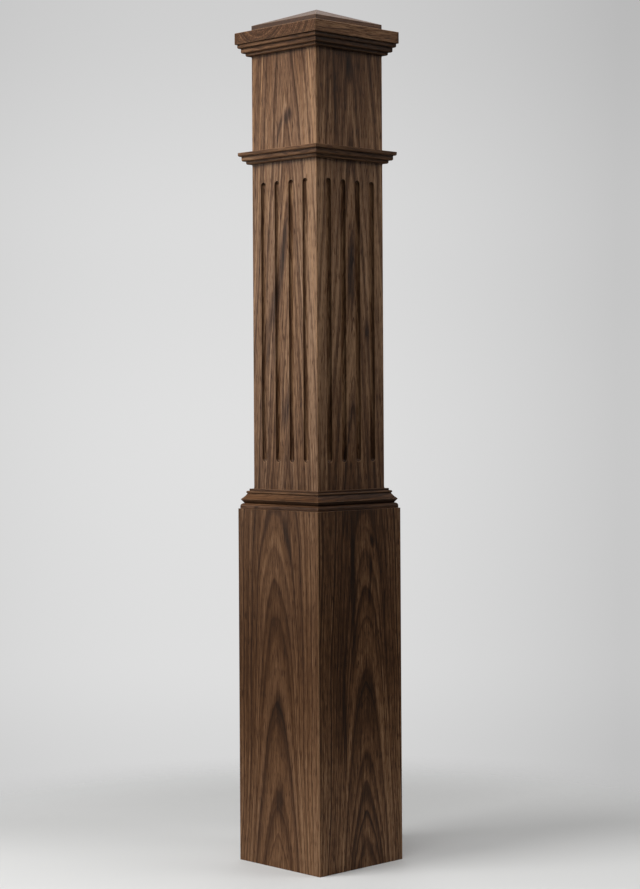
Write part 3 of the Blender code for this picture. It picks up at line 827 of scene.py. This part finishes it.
def line_stops(lines):
    """Stops of the main bands: each grows up to its ring's end and stops sharply there."""
    low, high = LINE_SPAN
    stops = [(0.0, NO_CHANGE)]
    for peak, strength, width in lines:
        for place, value in ((peak - width, 0.0), (peak - LINE_CREST * width, strength), (peak + LINE_FALL, 0.0)):
            stops.append(((place - low) / (high - low), NO_CHANGE + value / 2))
    return stops


def grain_turn(side, grain):
    """Turn from the post's axes to a board's own: X across, Y into the wood and Z along the grain."""
    facing = Matrix.Rotation(-side * QUARTER_TURN, 3, "Z")
    if grain == "level":
        return Matrix.Rotation(-QUARTER_TURN, 3, "Y") @ facing
    if grain == "deep":
        return Matrix.Rotation(QUARTER_TURN, 3, "X")
    return facing


def board_darkness(nodes, place, figure):
    """A board's darkness: its own, plus what its flanks add across it and what its stretches add along it."""
    across = nodes.math("ADD", nodes.part(place, 0), figure["middle"])
    left = nodes.span(across, -FLANK_END, -FLANK_START, figure["flanks"][0], 0.0)
    right = nodes.span(across, FLANK_START, FLANK_END, 0.0, figure["flanks"][1])
    height = nodes.math("DIVIDE", nodes.part(place, 2), SHAFT_HEAD)
    # For the shaft and base boards the stretches are partly the wood's tone and partly painted light and shade along
    # the height
    stops = [(at / SHAFT_HEAD, NO_CHANGE + value) for at, value in figure["stretches"]]
    darkness = nodes.math("ADD", nodes.math("ADD", left, right), figure["darkness"] - NO_CHANGE)
    return nodes.math("ADD", darkness, nodes.ramp(height, stops, "B_SPLINE"))


def walnut(name, figure, colours, side=0, grain="upright", face=0.0, shift=(0.0, 0.0, 0.0)):
    """A piece's walnut: its place in the board's own frame, the growth rings there and their colour and relief."""
    material, nodes, shader = new_material(name)
    place = nodes.add("TexCoord", {}, "Object")
    location = Vector((-figure["middle"], face, 0.0)) + Vector(shift)
    turn = Vector(grain_turn(side, grain).to_euler("XYZ"))
    place = nodes.add("Mapping", {0: place, 1: location, 2: turn}, vector_type="POINT")
    growth = nodes.add(
        "Group",
        {
            "Place": place, "Pith Depth": figure["pith"], "Slope": figure["slope"], "Swell": figure["swell"],
            "Seed": figure["seed"],
        },
        node_tree=group_of("growth_rings", ring_group),
    ).node.outputs
    low, high = LINE_SPAN
    along = nodes.add("MapRange", {0: growth["Ring"], 1: low, 2: high, 3: 0.0, 4: 1.0})
    wood = nodes.add(
        "Group",
        {
            "Ring": growth["Ring"], "Place": growth["Place"], "Straight": nodes.vector("ADD", place, figure["seed"]),
            "Lines": nodes.ramp(along, line_stops(figure["lines"])),
            "Stain": stain_of(nodes, growth["Place"], place, figure),
            "Darkness": board_darkness(nodes, place, figure),
            "Contrast": figure["contrast"], "Greyness": figure["greyness"],
            "Edge": nodes.add("Attribute", {}, "Fac", attribute_name="edge", attribute_type="GEOMETRY"),
        },
        node_tree=group_of("walnut_figure", wood_group, colours),
    ).node.outputs
    relief = nodes.add("Bump", {"Height": wood["Height"], "Strength": 1.0, "Distance": colours.relief})
    for result, socket in ((wood["Colour"], "Base Color"), (wood["Roughness"], "Roughness"), (relief, "Normal")):
        nodes.link(result, shader.inputs[socket])
    shader.inputs["IOR"].default_value = FINISH_INDEX
    shader.inputs["Specular IOR Level"].default_value = figure.get("shine", SHINE)
    material.diffuse_color = (*colours.brown, 1.0)
    return material


def stain_of(nodes, wandering, place, figure):
    """Dark mineral streaks: long soft slanting ovals whose darkness falls from the middle out, with uneven edges."""
    ragged = nodes.drawn(place, *STAIN_NOISE)
    x, z = nodes.part(wandering, 0), nodes.part(wandering, 2)
    total = 0.0
    for across, along, half_width, half_length, strength, slant in figure["stains"]:
        lift = nodes.math("SUBTRACT", z, along)
        middle = nodes.math("MULTIPLY_ADD", lift, slant, across - figure["middle"])
        beside = nodes.math("DIVIDE", nodes.math("SUBTRACT", x, middle), half_width)
        oval = nodes.add("CombineXYZ", {0: beside, 2: nodes.math("DIVIDE", lift, half_length)})
        away = nodes.math("MULTIPLY_ADD", ragged, STAIN_RAGGEDNESS, nodes.vector("LENGTH", oval, output=1))
        total = nodes.math("MAXIMUM", nodes.span(away, *STAIN_REACH, strength, 0.0), total)
    return total


def dress(piece, node, material):
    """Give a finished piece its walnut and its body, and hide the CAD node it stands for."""
    piece.data.materials.append(material)
    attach(piece, "root")
    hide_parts(node)


def plain_figure(number, **changes):
    """A quiet figure for a piece whose grain the eye does not single out, moved by its number."""
    return PLAIN_FIGURE | {"seed": tuple(number * step for step in SEED_STEPS)} | changes


def end_grain(middle, half, darkness):
    """Stretches that darken a board's two ends, where the finish soaks in, given its middle and half length."""
    foot, head = middle - half, middle + half
    return (foot, darkness), (foot + END_DEPTH, 0.0), (head - END_DEPTH, 0.0), (head, darkness)


def hidden_figure(kind, side_name):
    """The figure of a board on the back or left side, in keeping with the two boards in view."""
    twin, flip, drift = {"back": ("front", -1, 0.09), "left": ("right", -1, -0.07)}[side_name]
    figure = dict(FIGURES[kind + twin])
    figure["middle"] = flip * figure["middle"]
    figure["flanks"] = figure["flanks"][::flip]
    figure["seed"] = tuple(value + HIDDEN_SEED for value in figure["seed"])
    figure["lines"] = tuple((peak + drift, strength, width) for peak, strength, width in figure["lines"])
    figure["stains"] = tuple(
        (-across, along - drift, wide, tall, HIDDEN_STAIN * strength, -slant)
        for across, along, wide, tall, strength, slant in figure["stains"]
    )
    return figure


# Operators


class MakePiece:
    """What the operators share: how they are undone and where they find the user's values."""

    bl_options = {"REGISTER", "UNDO"}

    @staticmethod
    def values(context):
        """The user's sizes and colours."""
        return context.scene.newel_sizes, context.scene.newel_colours


def make_boards(context, kind, prefix, shape, half):
    """Make the four boards of the shaft or the base, each with its own figure."""
    sizes, colours = MakePiece.values(context)
    for side, side_name in enumerate(SIDES):
        node = kind + "_board_" + side_name
        board = shape(prefix + node, side, sizes)
        figure = FIGURES.get(kind + "_" + side_name) or hidden_figure(kind + "_", side_name)
        dress(board, node, walnut("walnut_" + node, figure, colours, side, face=half))
    return {"FINISHED"}


def make_run(context, kind, section, foot, number, darkness):
    """Make the four mitred lengths of one run of moulding, with the darkness of its front and its side lengths."""
    sizes, colours = MakePiece.values(context)
    for side, side_name in enumerate(SIDES):
        node = kind + "_" + side_name
        strip = moulding_length("mitred_" + node, side, section(sizes.moulding_arris), foot, sizes)
        # The side lengths get the darker value: painted shade, so one moulding has lit and shaded copies
        figure = plain_figure(number + side, darkness=darkness[side % 2])
        material = walnut("walnut_" + node, figure, colours, side, "level", SHAFT_HALF, (foot, 0.0, MOULDING_CUT))
        dress(strip, node, material)
    return {"FINISHED"}


def make_cap_piece(context, node, prefix, shape, head, cut, figure):
    """Make a piece of the cap, whose grain runs from front to back."""
    sizes, colours = MakePiece.values(context)
    piece = shape(prefix + node, sizes)
    material = walnut("walnut_" + node, figure, colours, 0, "deep", head, (0.0, 0.0, cut))
    dress(piece, node, material)
    return {"FINISHED"}


class NEWEL_OT_shaft_boards(MakePiece, bpy.types.Operator):
    """Make the four full-height shaft boards with their stopped flutes"""

    bl_idname = "newel.shaft_boards"
    bl_label = "Shaft Boards"

    def execute(self, context):
        return make_boards(context, "shaft", "fluted_", shaft_board, SHAFT_HALF)


class NEWEL_OT_base_boards(MakePiece, bpy.types.Operator):
    """Make the four boards wrapped round the foot"""

    bl_idname = "newel.base_boards"
    bl_label = "Base Boards"

    def execute(self, context):
        return make_boards(context, "base", "eased_", base_board, BASE_HALF)


class NEWEL_OT_base_cap(MakePiece, bpy.types.Operator):
    """Make the four mitred lengths of the base cap"""

    bl_idname = "newel.base_cap"
    bl_label = "Base Cap"

    def execute(self, context):
        return make_run(context, "base_cap", base_cap_section, BASE_CAP_FOOT, 1, (0.20, 0.33))


class NEWEL_OT_neck_moulding(MakePiece, bpy.types.Operator):
    """Make the four mitred lengths of the stepped neck moulding"""

    bl_idname = "newel.neck_moulding"
    bl_label = "Neck Moulding"

    def execute(self, context):
        return make_run(context, "neck_moulding", stepped_section, NECK_FOOT, 5, (0.05, 0.15))


class NEWEL_OT_cap_moulding(MakePiece, bpy.types.Operator):
    """Make the four mitred lengths of stepped moulding under the cap"""

    bl_idname = "newel.cap_moulding"
    bl_label = "Cap Moulding"

    def execute(self, context):
        return make_run(context, "cap_moulding", stepped_section, CAP_MOULDING_FOOT, 9, (0.10, 0.38))


class NEWEL_OT_cap_board(MakePiece, bpy.types.Operator):
    """Make the flat cap board"""

    bl_idname = "newel.cap_board"
    bl_label = "Cap Board"

    def execute(self, context):
        ends = end_grain(CAP_BOARD_CUT, CAP_BOARD_HALF, 0.50)
        figure = plain_figure(13, middle=-0.03, pith=-0.05, darkness=0.04, contrast=1.1, stretches=ends)
        return make_cap_piece(context, "cap_board", "eased_", cap_board_mesh, CAP_BOARD_HEAD, CAP_BOARD_CUT, figure)


class NEWEL_OT_cap_block(MakePiece, bpy.types.Operator):
    """Make the cap block with its low pyramid top"""

    bl_idname = "newel.cap_block"
    bl_label = "Cap Block"

    def execute(self, context):
        ends = end_grain(CAP_BLOCK_CUT, CAP_BLOCK_HALF, 0.28)
        # The greyness of 0.5 is a painted reflection: it greys the block's wood to stand in for the grey sheen on its
        # slopes
        figure = plain_figure(
            14, middle=-0.02, pith=-0.05, darkness=0.19, contrast=0.5, shine=0.27, greyness=0.5, stretches=ends
        )
        return make_cap_piece(context, "cap_block", "sloped_", cap_block_mesh, CAP_BLOCK_HEAD, CAP_BLOCK_CUT, figure)


# Studio

CAMERA_AZIMUTH = math.radians(45.86)
CAMERA_DISTANCE = 3.487
CAMERA_HEIGHT = 0.763
CAMERA_ROLL = math.radians(-0.33)
CAMERA_SHIFT = (0.0015, -0.0515)
CAMERA_CLIP = (0.1, 60.0)
SENSOR_WIDTH = 36.0
RIGHT_OF_VIEW = Vector((math.cos(CAMERA_AZIMUTH), math.sin(CAMERA_AZIMUTH), 0.0))
INTO_VIEW = Vector((-math.sin(CAMERA_AZIMUTH), math.cos(CAMERA_AZIMUTH), 0.0))


def make_camera(lens):
    """Set the camera at the photograph's angle: level, a little rolled, with a small shift for the framing."""
    data = bpy.data.cameras.new("studio_camera")
    data.lens = lens
    data.sensor_width = SENSOR_WIDTH
    data.shift_x, data.shift_y = CAMERA_SHIFT
    data.clip_start, data.clip_end = CAMERA_CLIP
    camera = bpy.data.objects.new("studio_camera", data)
    up = Vector((0.0, 0.0, 1.0))
    across = RIGHT_OF_VIEW * math.cos(CAMERA_ROLL) + up * math.sin(CAMERA_ROLL)
    upwards = up * math.cos(CAMERA_ROLL) - RIGHT_OF_VIEW * math.sin(CAMERA_ROLL)
    turn = Matrix((across, upwards, -INTO_VIEW)).transposed().to_4x4()
    place = up * CAMERA_HEIGHT - INTO_VIEW * CAMERA_DISTANCE
    camera.matrix_world = Matrix.Translation(place) @ turn
    bpy.context.scene.collection.objects.link(camera)
    bpy.context.scene.camera = camera


def place_in_view(right, into, height):
    """A point given by how far it is right of the post and behind it as the camera sees them, and its height."""
    return RIGHT_OF_VIEW * right + INTO_VIEW * into + Vector((0.0, 0.0, height))


# Soft boxes: angle from the camera's left towards its front, lift above the post's middle, in degrees, and watts
SOFT_BOXES = {
    "key_light": (27, 43, 53.0),
    "left_light": (-2, 5, 15.0),
    "front_light": (72, 56, 15.0),
    "right_light": (168, 42, 17.5),
    "side_right_light": (200, 4, 5.0),
    "back_right_light": (222, 14, 7.0),
    "back_light": (270, 60, 6.0),
    "top_light": (90, 84, 14.0),
}
SOFT_BOX_SIZE = 1.0
SOFT_BOX_DISTANCE = 2.4
POST_MIDDLE = 0.85


def round_the_post(angle, lift):
    """The place of a soft box: its distance times cosine and sine of the two angles, above the post's middle."""
    angle, lift = math.radians(angle), math.radians(lift)
    level = SOFT_BOX_DISTANCE * math.cos(lift)
    height = POST_MIDDLE + SOFT_BOX_DISTANCE * math.sin(lift)
    return place_in_view(-level * math.cos(angle), -level * math.sin(angle), height)


def soft_box(name, place, power):
    """A large square soft light that faces the post's middle and is not seen itself."""
    data = bpy.data.lights.new(name, "AREA")
    data.shape = "SQUARE"
    data.size = SOFT_BOX_SIZE
    data.energy = power
    light = bpy.data.objects.new(name, data)
    light.location = place
    light.rotation_euler = (Vector((0.0, 0.0, POST_MIDDLE)) - place).to_track_quat("-Z", "Y").to_euler()
    light.visible_camera = False
    bpy.context.scene.collection.objects.link(light)


# The backdrop's brightness from its foot to its head, and how it dims to both sides of a middle
BACKDROP = ((0.0, 0.66), (0.325, 0.675), (0.38, 0.733), (0.48, 0.745), (0.57, 0.717), (0.70, 0.62), (1.0, 0.52))
BACKDROP_MIDDLE, SIDE_DIMMING, DIMMEST = -0.045, -6.4, 0.78
BACKDROP_AHEAD = (0.80, 0.93)
# The glow behind the post: its lift, where it starts and is full, and its level outside and inside
GLOW_LIFT, GLOW_SPAN = 0.4, (0.84, 0.97, 0.025, 0.60)


def make_world():
    """The studio round the post: a pale backdrop to look at, and a soft uneven glow that lights the wood."""
    world = bpy.data.worlds.new("studio")
    world.use_nodes = True
    bpy.context.scene.world = world
    nodes = Nodes(world.node_tree)
    seen = world.node_tree.nodes["Background"]
    direction = nodes.add("TexCoord", {}, "Generated")
    backdrop = nodes.ramp(nodes.math("ADD", nodes.part(direction, 2), 0.5), BACKDROP, "EASE")
    aside = nodes.math("ADD", nodes.towards(direction, RIGHT_OF_VIEW), -BACKDROP_MIDDLE)
    dimming = nodes.math("MULTIPLY_ADD", nodes.math("MULTIPLY", aside, aside), SIDE_DIMMING, 1.0)
    ahead = nodes.span(nodes.towards(direction, INTO_VIEW), *BACKDROP_AHEAD)
    dimming = nodes.math("MAXIMUM", nodes.add("Mix", {0: ahead, 2: 1.0, 3: dimming}), DIMMEST)
    nodes.link(nodes.scaled(backdrop, dimming), seen.inputs["Color"])
    high_behind = (INTO_VIEW + Vector((0.0, 0.0, GLOW_LIFT))).normalized()
    glow = nodes.add("Background", {"Color": nodes.span(nodes.towards(direction, high_behind), *GLOW_SPAN)})
    mixed = nodes.add("MixShader", {0: nodes.add("LightPath", {}, "Is Camera Ray"), 1: glow, 2: seen.outputs[0]})
    nodes.link(mixed, world.node_tree.nodes["World Output"].inputs["Surface"])


FLOOR_RADII = (0.02, 0.2, 0.5, 0.8, 1.2, 1.8, 2.6)
FLOOR_FADE = (0.55, 1.05)  # how far from the post the floor starts and ends to fade
FLOOR_SHADE_BEHIND = (0.0, 0.35, 1.0, 0.80)  # distances behind the post, and the floor's colour at each: painted shade, darker behind the post
FLOOR_ROUGHNESS = 0.75


def make_floor(studio):
    """A round pale floor whose rim fades into the backdrop: rings of points, radius times cosine and sine."""
    turn = np.linspace(0, 2 * math.pi, studio.samples_round, endpoint=False)[None]
    radius = np.array(FLOOR_RADII)[:, None]
    points = np.stack((radius * np.cos(turn), radius * np.sin(turn), 0 * radius * turn), axis=-1)
    rows, columns = points.shape[:2]
    sides = quads(rows, columns, closed=True)[..., ::-1].reshape(-1, 4).tolist()
    middle = [list(range(columns))]
    mesh = bpy.data.meshes.new("studio_floor")
    mesh.from_pydata(points.reshape(-1, 3).tolist(), [], sides + middle)
    floor = bpy.data.objects.new("studio_floor", mesh)
    bpy.context.scene.collection.objects.link(floor)
    material, nodes, shader = new_material("pale_floor")
    shader.inputs["Roughness"].default_value = FLOOR_ROUGHNESS
    place = nodes.add("TexCoord", {}, "Object")
    # Painted shade: the floor's colour darkens behind the post
    painted_floor_shade = nodes.span(nodes.towards(place, INTO_VIEW), *FLOOR_SHADE_BEHIND)
    nodes.link(nodes.scaled(tuple(studio.floor), painted_floor_shade), shader.inputs["Base Color"])
    fade = nodes.span(nodes.vector("LENGTH", place, output=1), *FLOOR_FADE)
    mixed = nodes.add("MixShader", {0: fade, 1: shader.outputs[0], 2: nodes.add("BsdfTransparent", {})})
    nodes.link(mixed, material.node_tree.nodes["Material Output"].inputs["Surface"])
    mesh.materials.append(material)


class NEWEL_OT_studio(MakePiece, bpy.types.Operator):
    """Set up the pale floor, the soft light and the camera"""

    bl_idname = "newel.studio"
    bl_label = "Studio"

    def execute(self, context):
        studio = context.scene.newel_studio
        context.scene.view_settings.view_transform = "Standard"
        make_camera(studio.lens)
        make_world()
        make_floor(studio)
        for name, (angle, lift, power) in SOFT_BOXES.items():
            soft_box(name, round_the_post(angle, lift), power * studio.light)
        return {"FINISHED"}


class NEWEL_PT_panel(bpy.types.Panel):
    """The post's values and pieces"""

    bl_idname = "NEWEL_PT_panel"
    bl_label = "Box Newel Post"
    bl_space_type = "VIEW_3D"
    bl_region_type = "UI"
    bl_category = "Newel Post"

    def draw(self, context):
        """List the values, then a button for each piece."""
        for group in (context.scene.newel_sizes, context.scene.newel_colours, context.scene.newel_studio):
            box = self.layout.box()
            for name in group.__annotations__:
                box.prop(group, name)
        for operator in OPERATORS:
            self.layout.operator(operator.bl_idname)


OPERATORS = (
    NEWEL_OT_studio,
    NEWEL_OT_base_boards,
    NEWEL_OT_shaft_boards,
    NEWEL_OT_base_cap,
    NEWEL_OT_neck_moulding,
    NEWEL_OT_cap_moulding,
    NEWEL_OT_cap_board,
    NEWEL_OT_cap_block,
)
GROUPS = {"newel_sizes": NewelSizes, "newel_colours": NewelColours, "newel_studio": NewelStudio}


def register():
    """Add the classes and the scene's values to Blender."""
    for item in (*GROUPS.values(), *OPERATORS, NEWEL_PT_panel):
        bpy.utils.register_class(item)
    for name, group in GROUPS.items():
        setattr(bpy.types.Scene, name, PointerProperty(type=group))


def unregister():
    """Take the classes and the scene's values out of Blender."""
    for name in GROUPS:
        delattr(bpy.types.Scene, name)
    for item in reversed((*GROUPS.values(), *OPERATORS, NEWEL_PT_panel)):
        bpy.utils.unregister_class(item)


def main():
    """Make the studio and every piece."""
    register()
    for operator in OPERATORS:
        space, action = operator.bl_idname.split(".")
        getattr(getattr(bpy.ops, space), action)()
    bpy.context.view_layer.update()


if __name__ == "__main__":
    main()
